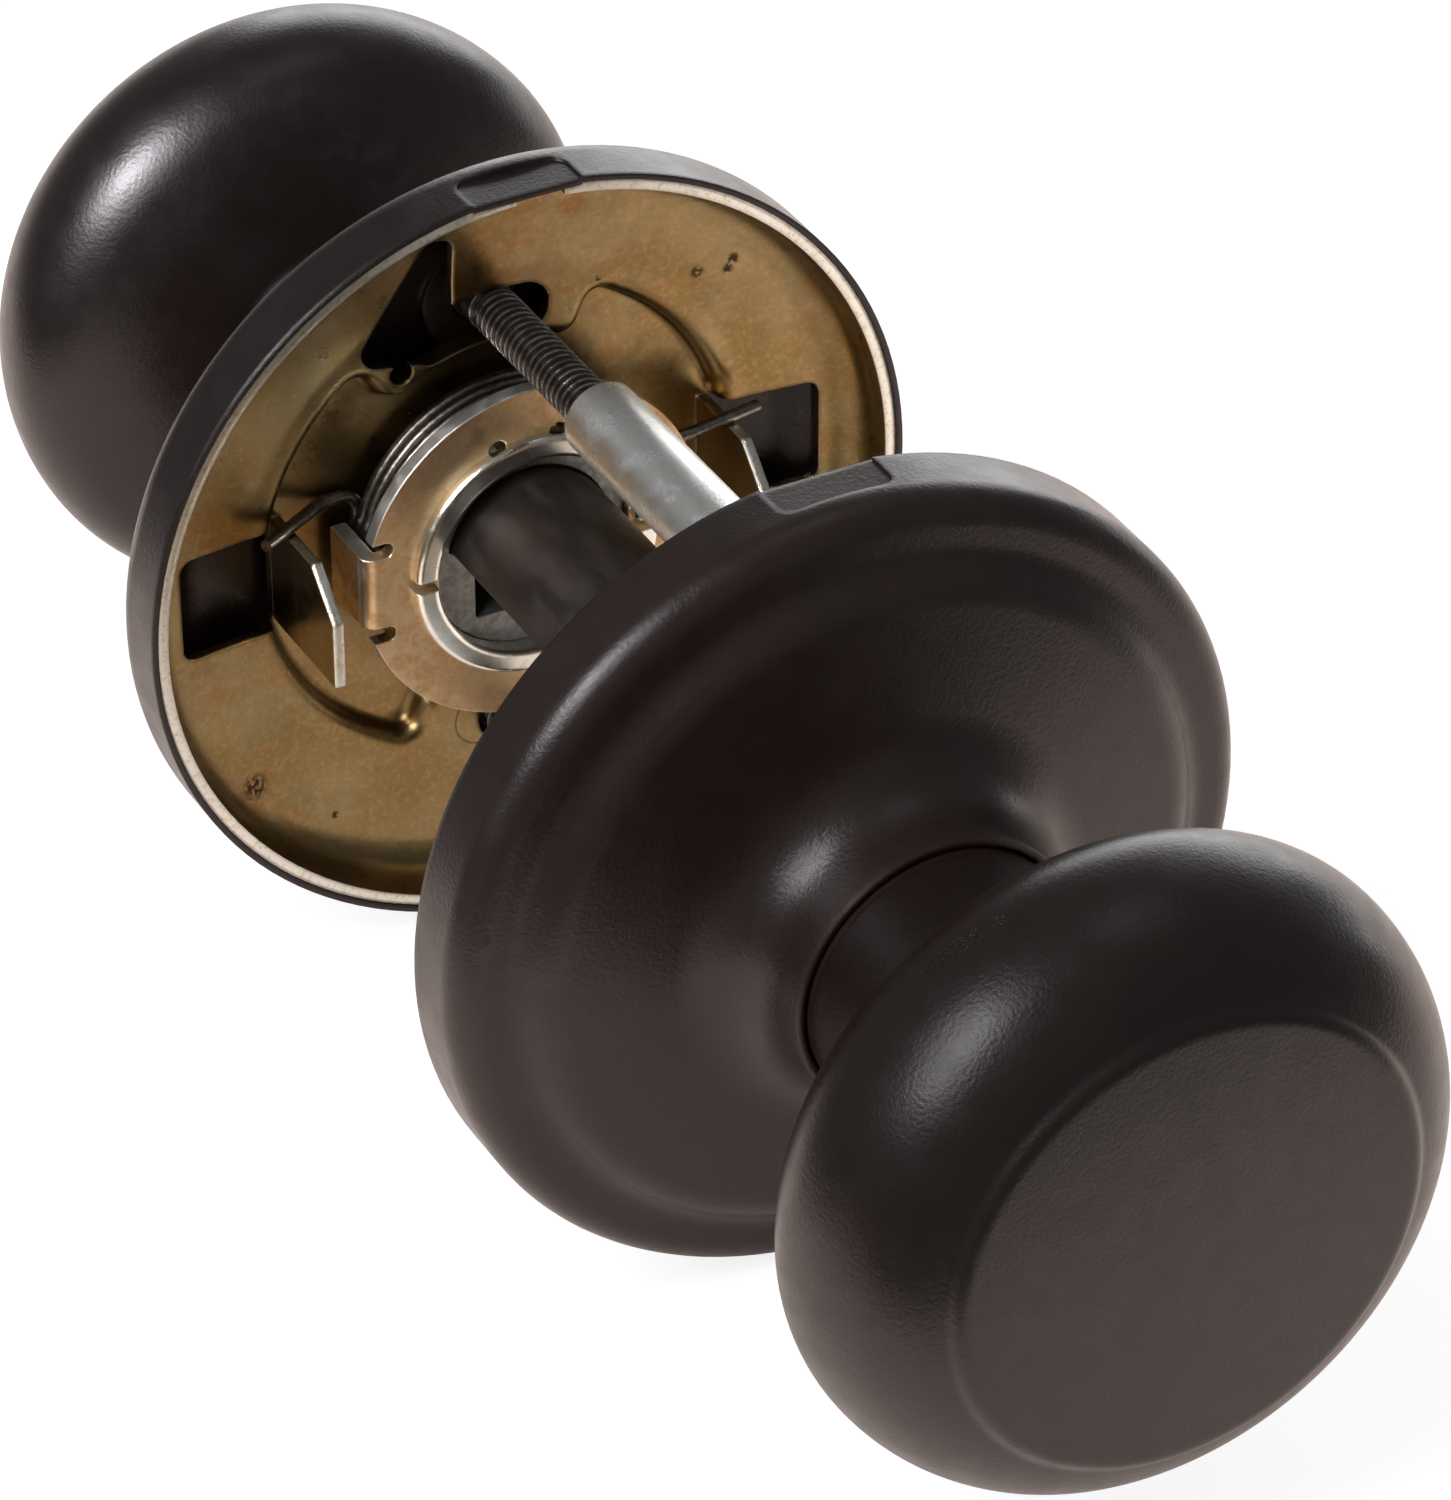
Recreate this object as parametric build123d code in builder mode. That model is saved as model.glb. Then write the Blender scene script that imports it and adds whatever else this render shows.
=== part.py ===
from build123d import *
import os
from math import asin, cos, degrees, hypot, radians, sin, tan

# Door knob set: two round knobs on their roses, clamped on a door by two through bolts.
# The knobs turn about Y. The front knob faces -Y, the rear knob faces +Y, and +Z is up.
# The origin is on the knob axis, halfway between the rims of the two roses.
# On each half, a height is a distance outward from the plane of that half's rose rim.
# Both halves are the same stampings, one of them turned half a turn about Z.

# Door and bolt pattern
door_gap = 45.8
bolt_gap = 0.975

# Rose: a drawn steel shell
rose_diameter = 66.7
rose_thickness = 0.5
rose_wall_height = 6.7
rose_corner_radius = 2.6
rose_step_inset = 4.8
rose_shoulder_rise = 0.6
rose_foot_radius = 3.0
rose_step_run = 1.6
rose_step_rise = 1.6
rose_brow_radius = 4.5
rose_slope_rise = 2.7
rose_cove_radius = 6.5
rose_collar_clearance = 0.3
rose_collar_flare = 1.1
rose_collar_edge_radius = 0.2
rose_height = 19.0

# Crimps in the rose wall that hold the liner
crimp_width = 9.4
crimp_height = 3.8
crimp_depth = 0.5
crimp_corner_radius = 1.2
crimp_clearance = 0.06

# Liner: the plated plate inside the rose
liner_thickness = 0.9
liner_fit = 0.05
liner_rim_recess = 0.2
liner_corner_radius = 4.5
liner_floor_clearance = 0.55
liner_flat_margin = 0.825
liner_floor_rise = 1.15
pan_depth = 2.0
pan_draft = 12.0
pan_lip_radius = 1.2
pan_edge_radius = 1.5
pan_foot_radius = 0.5
pad_gap = 1.35
pad_run = 4.6
pad_start_angle = 55.0
pad_end_angle = 114.0
pad_corner_share = 0.35
hub_height = 14.5
rim_notch_width = 4.2
rim_notch_depth = 1.8
rim_notch_offset = 1.2

# Windows of the liner, and the lugs bent out of them
window_gap = 4.65
window_outer_inset = 4.3
window_width = 9.4
window_corner_radius = 1.2
lug_reach = 3.5
lug_bend_radius = 1.2
lug_tip_chamfer = 3.6

# Keyholes of the rear liner
keyhole_near_edge = 3.9
keyhole_far_edge = 12.3
keyhole_top_rise = 8.3
keyhole_top_width = 2.5
keyhole_shoulder_drop = 0.8
keyhole_foot_drop = 2.1
keyhole_foot_inset = 1.3
keyhole_root_drop = 3.4
keyhole_corner_radius = 1.4
keyhole_notch_radius = 1.0
keyhole_notch_inset = 3.8
keyhole_notch_drop = 3.2
keyhole_slot_inset = 0.1
keyhole_slot_start_angle = 73.0
keyhole_slot_end_angle = 97.0
keyhole_slot_width = 4.6

# Shank: the zinc tube that carries the knob
shank_diameter = 21.8
shank_wall = 2.1
shank_running_fit = 0.07
shank_shoulder_height = 12.0
spigot_height = 30.0
spigot_fit = 0.05
stake_inset = 0.15
stake_height = 1.0
stake_edge_radius = 0.45
stake_slot_width = 1.0
driver_seat_inset = 1.0
driver_fit = 0.05
tang_fit = 0.05

# Driver: the eared washer staked on the shank
driver_margin = 3.95
driver_thickness = 1.3
driver_face_height = 0.3
ear_inset = 0.05
ear_width = 6.4
ear_height = 6.6
ear_bend_radius = 1.2
ear_root_inset = 1.8
relief_radius = 0.7
tang_width = 2.6
tang_inset = 0.35
notch_radius = 0.8
notch_inset = 0.2
notch_angles = (73.7, 102.5)

# Socket: the cast insert in the shank, with the spindle's hole
socket_fit = 0.05
socket_wall = 1.5
socket_recess = 1.85
socket_depth = 21.0
socket_key_clearance = 0.1
pocket_side_inset = 2.2
pocket_end_inset = 1.6
pocket_corner_radius = 0.4

# Spindle: a bar with one flat
spindle_flat_offset = 2.2
spindle_flat_angle = 240.0
spindle_clearance = 0.15
spindle_front_height = 18.0
spindle_rear_height = 14.0
spindle_edge = 0.4
pin_diameter = 2.4
pin_height = 8.5
pin_end_clearance = 0.3
pin_hole_fit = 0.03

# Return spring, a torsion spring with both arms on the lugs
wire_diameter = 1.05
wire_gap = 0.05
spring_turn_count = 4
spring_clearance = 0.3
spring_arm_overhang = 2.3
spring_arm_height = 3.4
spring_arm_gap = 0.08
spring_bend_radius = 1.5
spring_start_gap = 0.1

# Posts riveted in the front liner
post_diameter = 6.35
post_mouth_gap = 11.5
post_tenon_diameter = 4.6
post_tenon_fit = 0.05
post_flare = 0.4
post_mouth_chamfer = 0.3
post_bore_depth = 24.0

# Machine screws from the rear rose into the posts
screw_diameter = 4.1
screw_fit = 0.05
screw_length = 40.0
screw_head_diameter = 7.8
screw_head_height = 2.4
screw_head_edge = 0.9
screw_tip_chamfer = 0.6
screw_slot_width = 1.1
screw_slot_depth = 1.1
dimple_diameter = 9.0
dimple_hole_diameter = 4.8
dimple_seat_clearance = 0.1

# Knob: a hollow shell with its neck
knob_wall = 1.0
knob_diameter = 52.1
knob_neck_start = 12.2
knob_neck_radius = 1.2
knob_back_height = 33.2
knob_widest_rise = 10.4
knob_back_shoulder_inset = 3.45
knob_back_shoulder_drop = 6.3
knob_front_shoulder_inset = 1.7
knob_front_shoulder_rise = 6.2
knob_face_diameter = 37.4
knob_face_rise = 10.4
knob_face_step = 0.9
knob_face_step_run = 0.7
knob_face_dome = 0.6
knob_crease_radius = 1.0
knob_rim_radius = 1.4

# Sizes that follow from these
half_gap = door_gap / 2
shank_radius = shank_diameter / 2
bore_radius = shank_radius - shank_wall
seat_radius = shank_radius - driver_seat_inset
driver_radius = shank_radius + driver_margin
bolt_offset = driver_radius + bolt_gap + post_diameter / 2
rose_radius = rose_diameter / 2
rose_step_radius = rose_radius - rose_step_inset
rose_step_height = rose_wall_height + rose_shoulder_rise
rose_brow_offset = rose_step_radius - rose_step_run
rose_brow_height = rose_step_height + rose_step_rise
rose_collar_root_height = rose_brow_height + rose_slope_rise
rose_collar_radius = shank_radius + rose_collar_clearance + rose_thickness
liner_radius = rose_radius - rose_thickness - liner_fit
liner_floor_back = rose_wall_height - rose_thickness - liner_floor_clearance
liner_pad_back = liner_floor_back + liner_floor_rise
liner_pad_front = liner_pad_back - liner_thickness
pan_floor_front = liner_pad_front + pan_depth
pan_floor_back = pan_floor_front + liner_thickness
liner_flat_radius = bolt_offset + post_diameter / 2 + liner_flat_margin
pad_inner_radius = driver_radius + pad_gap
pan_radius = pad_inner_radius + pad_run
hub_bore_radius = shank_radius + shank_running_fit
driver_back = driver_face_height + driver_thickness
driver_bore_radius = seat_radius + driver_fit
stake_front = driver_face_height - stake_height
spigot_radius = shank_radius - knob_wall - spigot_fit
socket_front = stake_front + socket_recess
socket_radius = bore_radius - socket_fit
spindle_radius = socket_radius - socket_wall - spindle_clearance
pocket_reach = spindle_radius - pocket_side_inset
pocket_drop = spindle_radius - pocket_end_inset
knob_widest_height = knob_back_height + knob_widest_rise
knob_face_height = knob_widest_height + knob_face_rise
window_inner_offset = driver_radius + window_gap
window_outer_offset = liner_radius - window_outer_inset
lug_back_offset = window_inner_offset - liner_thickness
keyhole_slot_offset = bolt_offset - keyhole_slot_inset
ear_offset = driver_radius - ear_inset
ear_root_offset = ear_offset - ear_root_inset
ear_inner_offset = ear_offset - driver_thickness
tang_reach = bore_radius - tang_inset
notch_offset = shank_radius - notch_inset
coil_radius = ear_inner_offset - spring_clearance - wire_diameter / 2
arm_line = window_width / 2 + spring_arm_gap + wire_diameter / 2
spring_arm_offset = window_inner_offset + spring_arm_overhang
dimple_seat_back = pan_floor_back + dimple_seat_clearance
dimple_seat_height = dimple_seat_back + rose_thickness

# A cut runs this far past the face that it leaves
past = 1.0

# Two places nearer than this are the same place
match = 0.01


def profile_plane(side):
    """Half of the axial section: radius across, height up, for one side of the door."""
    return Plane(origin=(0, side * half_gap, 0), x_dir=(1, 0, 0), z_dir=(0, 0, side))


def face_plane(side, height):
    """A plane square to the axis, seen from outside the door, with +Z up."""
    return Plane(
        origin=(0, side * (half_gap + height), 0), x_dir=(-side, 0, 0), z_dir=(0, side, 0)
    )


def polar_point(radius, angle):
    return (radius * cos(radians(angle)), radius * sin(radians(angle)))


def rose_points():
    """Outer skin of the rose, from the rim to the end of the collar."""
    return [
        (rose_radius, 0),
        (rose_radius, rose_wall_height),
        (rose_step_radius, rose_step_height),
        (rose_brow_offset, rose_brow_height),
        (rose_collar_radius + rose_collar_flare, rose_collar_root_height),
        (rose_collar_radius, rose_height),
    ]


rose_bends = [rose_corner_radius, rose_foot_radius, rose_brow_radius, rose_cove_radius]


def make_rose_blank(side):
    """The solid that the rose's outer skin encloses."""
    with BuildPart() as blank:
        with BuildSketch(profile_plane(side)):
            with BuildLine():
                skin = FilletPolyline(*rose_points(), radius=rose_bends)
                Polyline(skin @ 1, (0, rose_height), (0, 0), skin @ 0)
            make_face()
        revolve(axis=Axis.Y)
    return blank.part


def make_rose(side, has_dimples):
    """The drawn shell, its crimps, and on the rear half the screws' dimples."""
    blank = make_rose_blank(side)
    with BuildPart() as dimples:
        with BuildSketch(face_plane(side, dimple_seat_back)):
            with Locations((0, bolt_offset), (0, -bolt_offset)):
                Circle(dimple_diameter / 2 + rose_thickness)
        extrude(amount=rose_height)
        add(blank, mode=Mode.INTERSECT)
    with BuildPart() as rose:
        with BuildSketch(profile_plane(side)) as section:
            with BuildLine():
                FilletPolyline(*rose_points(), radius=rose_bends)
                offset(amount=rose_thickness, side=Side.LEFT)
            make_face()
            fillet(section.vertices().group_by(Axis.Y)[-1], radius=rose_collar_edge_radius)
        revolve(axis=Axis.Y)
        crimp_top = rose_radius - crimp_depth
        with BuildSketch(Plane.XY.offset(crimp_top)):
            add(crimp_outline(side, 0))
        extrude(amount=past, mode=Mode.SUBTRACT)
        with BuildSketch(Plane.XY.offset(crimp_top - rose_thickness)):
            add(crimp_outline(side, 0))
        extrude(amount=rose_thickness)
        with BuildSketch(face_plane(side, 0)):
            Circle(rose_radius + past)
        extrude(amount=-past, mode=Mode.SUBTRACT)
        if has_dimples:
            add(dimples.part)
            with BuildSketch(face_plane(side, dimple_seat_height)):
                with Locations((0, bolt_offset), (0, -bolt_offset)):
                    Circle(dimple_diameter / 2)
            extrude(amount=rose_height, mode=Mode.SUBTRACT)
            with BuildSketch(face_plane(side, dimple_seat_back - past)):
                with Locations((0, bolt_offset), (0, -bolt_offset)):
                    Circle(dimple_hole_diameter / 2)
            extrude(amount=rose_height, mode=Mode.SUBTRACT)
    return rose


def crimp_outline(side, margin):
    """Outline of the crimp at the top of the rim, seen along Z, open towards the door."""
    with BuildSketch() as outline:
        width = crimp_width + 2 * margin
        height = crimp_height + margin
        with Locations((0, side * (half_gap + (height - past) / 2))):
            RectangleRounded(width, height + past, crimp_corner_radius)
    return outline.sketch


def pan_outline():
    """Outline of the pan, which leaves a pad round each bolt."""
    far = 2 * pan_radius
    middle_angle = (pad_start_angle + pad_end_angle) / 2
    with BuildSketch() as outline:
        Circle(pan_radius)
        for turn in (0, 180):
            with BuildLine():
                Polyline(
                    (0, 0),
                    polar_point(far, pad_start_angle + turn),
                    polar_point(2 * far, middle_angle + turn),
                    polar_point(far, pad_end_angle + turn),
                    close=True,
                )
            make_face(mode=Mode.SUBTRACT)
        Circle(pad_inner_radius)
        fillet(outline.vertices(), radius=pad_corner_share * pad_run)
    return outline.sketch


def keyhole_outline():
    """The wide hole that the screw's head passes, and the narrow arc it is turned into."""
    sweep_angle = keyhole_slot_end_angle - keyhole_slot_start_angle
    top = bolt_offset + keyhole_top_rise
    with BuildSketch() as wide:
        with BuildLine():
            Polyline(
                (keyhole_near_edge, bolt_offset - keyhole_root_drop),
                (keyhole_near_edge, top),
                (keyhole_near_edge + keyhole_top_width, top),
                (keyhole_far_edge, bolt_offset - keyhole_shoulder_drop),
                (keyhole_far_edge - keyhole_foot_inset, bolt_offset - keyhole_foot_drop),
                close=True,
            )
        make_face()
        fillet(wide.vertices(), radius=keyhole_corner_radius)
        with Locations((keyhole_far_edge - keyhole_notch_inset, bolt_offset - keyhole_notch_drop)):
            Circle(keyhole_notch_radius)
    with BuildSketch() as outline:
        for turn in (0, 180):
            add(wide.sketch, rotation=turn)
            with BuildLine(mode=Mode.PRIVATE):
                middle = CenterArc(
                    (0, 0), keyhole_slot_offset, keyhole_slot_start_angle + turn, sweep_angle
                )
            SlotArc(middle, keyhole_slot_width)
    return outline.sketch


def window_outline():
    """Outline of both windows, rounded only at their outer corners."""
    length = window_outer_offset - window_inner_offset
    middle = (window_outer_offset + window_inner_offset) / 2
    with BuildSketch() as outline:
        with GridLocations(2 * middle, 0, 2, 1):
            Rectangle(length, window_width)
        outer = [v for v in outline.vertices() if abs(v.X) > middle]
        fillet(outer, radius=window_corner_radius)
    return outline.sketch


def make_lugs(side):
    """The metal of the two windows, bent towards the door, the upper tip corners cut."""
    root_offset = lug_back_offset - lug_bend_radius
    tip = half_gap - lug_reach
    top = window_width / 2
    with BuildPart() as lugs:
        with BuildSketch(profile_plane(side)) as section:
            for sign in (1, -1):
                with BuildLine():
                    Polyline(
                        (sign * root_offset, pan_floor_back),
                        (sign * window_inner_offset, pan_floor_back),
                        (sign * window_inner_offset, -lug_reach),
                        (sign * lug_back_offset, -lug_reach),
                        (sign * lug_back_offset, pan_floor_front),
                        (sign * root_offset, pan_floor_front),
                        close=True,
                    )
                make_face()
            bends = [v for v in section.vertices() if abs(v.X) > lug_back_offset + match and v.Y > 0]
            fillet(bends, radius=lug_bend_radius)
        extrude(amount=top, both=True)
        with BuildSketch(Plane(origin=(0, 0, 0), x_dir=(0, side, 0), z_dir=(side, 0, 0))):
            with BuildLine():
                Polyline(
                    (tip, top),
                    (tip, top - lug_tip_chamfer),
                    (tip + lug_tip_chamfer, top),
                    close=True,
                )
            make_face()
        extrude(amount=window_outer_offset, both=True, mode=Mode.SUBTRACT)
    return lugs.part


def ring_edges(builder, side, height, low, high):
    """Edges that lie square to the axis at one height, between two radii."""
    y = side * (half_gap + height)
    flat = [e for e in builder.edges() if all(abs(p.Y - y) < match for p in (e @ 0, e @ 0.5, e @ 1))]
    return [e for e in flat if low < hypot((e @ 0.5).X, (e @ 0.5).Z) < high]


def make_liner(side, has_keyholes):
    """The plate inside the rose: rim, floor, pan, hub, windows and lugs."""
    inner_pan = pan_outline()
    outer_pan = offset(inner_pan, amount=liner_thickness)
    holes = keyhole_outline()
    windows = window_outline()
    lugs = make_lugs(side)
    with BuildPart() as liner:
        with BuildSketch(profile_plane(side)):
            with BuildLine():
                FilletPolyline(
                    (liner_radius, liner_rim_recess),
                    (liner_radius, liner_floor_back),
                    (liner_flat_radius, liner_pad_back),
                    (driver_radius, liner_pad_back),
                    radius=[liner_corner_radius, liner_corner_radius],
                )
                offset(amount=liner_thickness, side=Side.LEFT)
            make_face()
        revolve(axis=Axis.Y)
        with BuildSketch(face_plane(side, liner_pad_front)):
            add(outer_pan)
        extrude(amount=pan_depth + liner_thickness, taper=pan_draft)
        with BuildSketch(face_plane(side, liner_pad_front)):
            add(inner_pan)
        extrude(amount=pan_depth, taper=pan_draft, mode=Mode.SUBTRACT)
        for height, radius in (
            (liner_pad_front, pan_lip_radius),
            (pan_floor_front, pan_foot_radius),
            (pan_floor_back, pan_edge_radius),
        ):
            rim = ring_edges(liner, side, height, driver_radius, pan_radius + 2 * liner_thickness)
            fillet(rim, radius=radius)
        with BuildSketch(face_plane(side, pan_floor_front)):
            Circle(hub_bore_radius + liner_thickness)
        extrude(amount=hub_height - pan_floor_front)
        with BuildSketch(face_plane(side, pan_floor_front - past)):
            Circle(hub_bore_radius)
        extrude(amount=hub_height, mode=Mode.SUBTRACT)
        with BuildSketch(face_plane(side, 0)):
            add(windows)
        extrude(amount=pan_floor_back + past, mode=Mode.SUBTRACT)
        add(lugs)
        if has_keyholes:
            with BuildSketch(face_plane(side, 0)):
                add(holes)
            extrude(amount=pan_floor_back + past, mode=Mode.SUBTRACT)
        else:
            tenon_hole = post_tenon_diameter / 2 + post_tenon_fit
            with BuildSketch(face_plane(side, liner_pad_front - past)):
                with Locations((0, bolt_offset), (0, -bolt_offset)):
                    Circle(tenon_hole)
            extrude(amount=liner_thickness + past, mode=Mode.SUBTRACT)
            with BuildSketch(face_plane(side, liner_pad_back)):
                with Locations((0, bolt_offset), (0, -bolt_offset)):
                    Circle(tenon_hole + post_flare)
            extrude(amount=-post_flare, taper=45, mode=Mode.SUBTRACT)
        with BuildSketch(Plane.XY.offset(rose_radius - crimp_depth - rose_thickness - crimp_clearance)):
            add(crimp_outline(side, crimp_clearance * 2))
        extrude(amount=rose_thickness * 2, mode=Mode.SUBTRACT)
        with BuildSketch(Plane.XY.offset(liner_radius - 3 * liner_thickness)):
            with Locations((side * rim_notch_offset, side * half_gap)):
                Rectangle(rim_notch_width, 2 * (liner_rim_recess + rim_notch_depth))
        extrude(amount=4 * liner_thickness, mode=Mode.SUBTRACT)
    return liner


def make_pin_blank(radius, reach):
    """A round bar across the front shank, through the axis and parallel to the spindle's flat."""
    direction = polar_point(1, spindle_flat_angle - 90)
    across = Plane(
        origin=(0, -half_gap - pin_height, 0), x_dir=(0, 1, 0), z_dir=(direction[0], 0, direction[1])
    )
    with BuildPart() as bar:
        with BuildSketch(across):
            Circle(radius)
        extrude(amount=reach, both=True)
    return bar.part


def make_shank(side):
    """The turned tube: staked lip, seat of the driver, bearing length and spigot."""
    with BuildPart() as shank:
        with BuildSketch(profile_plane(side)) as section:
            with BuildLine():
                Polyline(
                    (bore_radius, stake_front),
                    (shank_radius - stake_inset, stake_front),
                    (shank_radius - stake_inset, driver_face_height),
                    (seat_radius, driver_face_height),
                    (seat_radius, driver_back),
                    (shank_radius, driver_back),
                    (shank_radius, shank_shoulder_height),
                    (spigot_radius, shank_shoulder_height),
                    (spigot_radius, spigot_height),
                    (bore_radius, spigot_height),
                    close=True,
                )
            make_face()
            fillet(section.vertices().group_by(Axis.Y)[0], radius=stake_edge_radius)
        revolve(axis=Axis.Y)
        with BuildSketch(face_plane(side, stake_front)):
            Rectangle(2 * shank_diameter, stake_slot_width)
        extrude(amount=stake_height, mode=Mode.SUBTRACT)
        with BuildSketch(face_plane(side, driver_face_height)):
            Rectangle(2 * shank_diameter, tang_width + 2 * tang_fit)
        extrude(amount=driver_thickness + tang_fit, mode=Mode.SUBTRACT)
        if side < 0:
            add(make_pin_blank(pin_diameter / 2 + pin_hole_fit, shank_diameter), mode=Mode.SUBTRACT)
    return shank


def make_driver(side):
    """The staked washer: two ears for the spring's arms, two tangs for the shank's slots."""
    relief_line = ear_width / 2 + relief_radius
    relief_width = 2 * (relief_line + relief_radius)
    tang_length = driver_bore_radius - tang_reach + driver_thickness
    tang_middle = tang_reach + tang_length / 2
    root_offset = ear_root_offset - driver_thickness
    with BuildPart() as driver:
        with BuildSketch(face_plane(side, driver_face_height)):
            Circle(driver_radius)
            with GridLocations(2 * (ear_root_offset + driver_thickness), 0, 2, 1):
                Rectangle(2 * driver_thickness, relief_width, mode=Mode.SUBTRACT)
            with GridLocations(2 * ear_root_offset, 2 * relief_line, 2, 2):
                Circle(relief_radius, mode=Mode.SUBTRACT)
            Circle(driver_bore_radius, mode=Mode.SUBTRACT)
            for angle in notch_angles:
                with Locations(polar_point(notch_offset, angle)):
                    Circle(notch_radius, mode=Mode.SUBTRACT)
            with GridLocations(2 * tang_middle, 0, 2, 1):
                Rectangle(tang_length, tang_width)
        extrude(amount=driver_thickness)
        with BuildSketch(profile_plane(side)) as ear_section:
            for sign in (1, -1):
                with BuildLine():
                    Polyline(
                        (sign * root_offset, driver_face_height),
                        (sign * ear_offset, driver_face_height),
                        (sign * ear_offset, ear_height),
                        (sign * ear_inner_offset, ear_height),
                        (sign * ear_inner_offset, driver_back),
                        (sign * root_offset, driver_back),
                        close=True,
                    )
                make_face()
            corners = [v for v in ear_section.vertices() if abs(v.X) > ear_inner_offset + match]
            outer_bends = [v for v in corners if v.Y < driver_back]
            fillet(outer_bends, radius=ear_bend_radius)
        extrude(amount=ear_width / 2, both=True)
    return driver


def d_outline(radius, flat_offset):
    """A round with one flat, the flat's outward normal at the spindle's flat angle."""
    with BuildSketch() as outline:
        Circle(radius)
        middle = flat_offset + radius
        centre = polar_point(middle, spindle_flat_angle)
        with Locations(Location((*centre, 0), (0, 0, spindle_flat_angle))):
            Rectangle(2 * radius, 3 * radius, mode=Mode.SUBTRACT)
    return outline.sketch


def axis_plane(y):
    """A plane square to the knob axis, seen from the front, with its normal towards +Y."""
    return Plane(origin=(0, y, 0), x_dir=(1, 0, 0), z_dir=(0, -1, 0))


def socket_hole():
    """The spindle's hole in a socket, with a square pocket beside the spindle's flat."""
    with BuildSketch() as hole:
        with Locations((-pocket_reach / 2, -pocket_drop / 2)):
            RectangleRounded(pocket_reach, pocket_drop, pocket_corner_radius)
        add(d_outline(spindle_radius + spindle_clearance, spindle_flat_offset + spindle_clearance))
    return hole.sketch


def make_socket(side):
    """The cast insert that fills the shank behind its lip."""
    hole = socket_hole()
    with BuildPart() as socket:
        with BuildSketch(face_plane(side, socket_front)):
            Circle(socket_radius)
        extrude(amount=socket_depth)
        with BuildSketch(axis_plane(side * (half_gap + socket_front))):
            add(hole)
        extrude(amount=-side * socket_depth, mode=Mode.SUBTRACT)
        with BuildSketch(face_plane(side, socket_front)):
            key_reach = tang_reach - socket_key_clearance
            with Locations((key_reach + past, 0), (-key_reach - past, 0)):
                Rectangle(2 * past, tang_width + 2 * socket_key_clearance)
        extrude(amount=driver_back + socket_key_clearance - socket_front, mode=Mode.SUBTRACT)
        if side < 0:
            add(make_pin_blank(pin_diameter / 2 + pin_hole_fit, shank_diameter), mode=Mode.SUBTRACT)
    return socket


def spring_arm(sign, meet, root_x, height):
    """One arm's path from the coil: the hook, a short flat, then straight to its tip."""
    outward = Vector(sign, 0, 0)
    hook = RadiusArc(meet, (sign * root_x, arm_line, height), sign * spring_bend_radius)
    corner = Vector(sign * (root_x + spring_bend_radius), arm_line, height)
    tip = Vector(sign * spring_arm_offset, arm_line, spring_arm_height)
    slant = (tip - corner).normalized()
    reach = spring_bend_radius * tan(radians(slant.get_angle(outward)) / 2)
    knee = TangentArc(corner - outward * reach, corner + slant * reach, tangent=outward)
    return [hook, Line(hook @ 1, knee @ 0), knee, Line(knee @ 1, tip)]


def make_spring():
    """The front half's close-wound coil, its two arms lying on the lugs.

    Each half turn of the coil is a half circle, tilted so that it climbs half a pitch.
    """
    wire_radius = wire_diameter / 2
    bend_reach = coil_radius + spring_bend_radius
    meet_angle = degrees(asin((arm_line - spring_bend_radius) / bend_reach))
    meet_x, meet_z = polar_point(coil_radius, meet_angle)
    middle_x, middle_z = polar_point(coil_radius, meet_angle / 2)
    root_x = polar_point(bend_reach, meet_angle)[0]
    step = (wire_diameter + wire_gap) / 2
    height = driver_back + spring_start_gap + wire_radius
    first = spring_arm(-1, (-meet_x, meet_z, height), root_x, height)
    coil = [
        ThreePointArc(
            (-meet_x, meet_z, height), (-middle_x, middle_z, height), (-coil_radius, 0, height)
        )
    ]
    across = -1
    for half_turn in range(2 * spring_turn_count + 1):
        coil.append(
            ThreePointArc(
                (across * coil_radius, 0, height),
                (0, across * coil_radius, height + step / 2),
                (-across * coil_radius, 0, height + step),
            )
        )
        across = -across
        height += step
    coil.append(
        ThreePointArc((coil_radius, 0, height), (middle_x, middle_z, height), (meet_x, meet_z, height))
    )
    last = spring_arm(1, (meet_x, meet_z, height), root_x, height)
    with BuildPart() as spring:
        for stretch in first + coil + last:
            piece = face_plane(-1, 0) * stretch
            with BuildSketch(Plane(origin=piece @ 0, z_dir=piece % 0)):
                Circle(wire_radius)
            if piece.geom_type == GeomType.LINE:
                extrude(amount=piece.length)
            else:
                centre = piece.arc_center
                turning = (piece @ 0 - centre).cross(piece % 0)
                revolve(axis=Axis(centre, turning), revolution_arc=degrees(piece.length / piece.radius))
    return spring


def corner_at(sketch, place):
    return sketch.vertices().sort_by_distance(place)[0]


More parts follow.
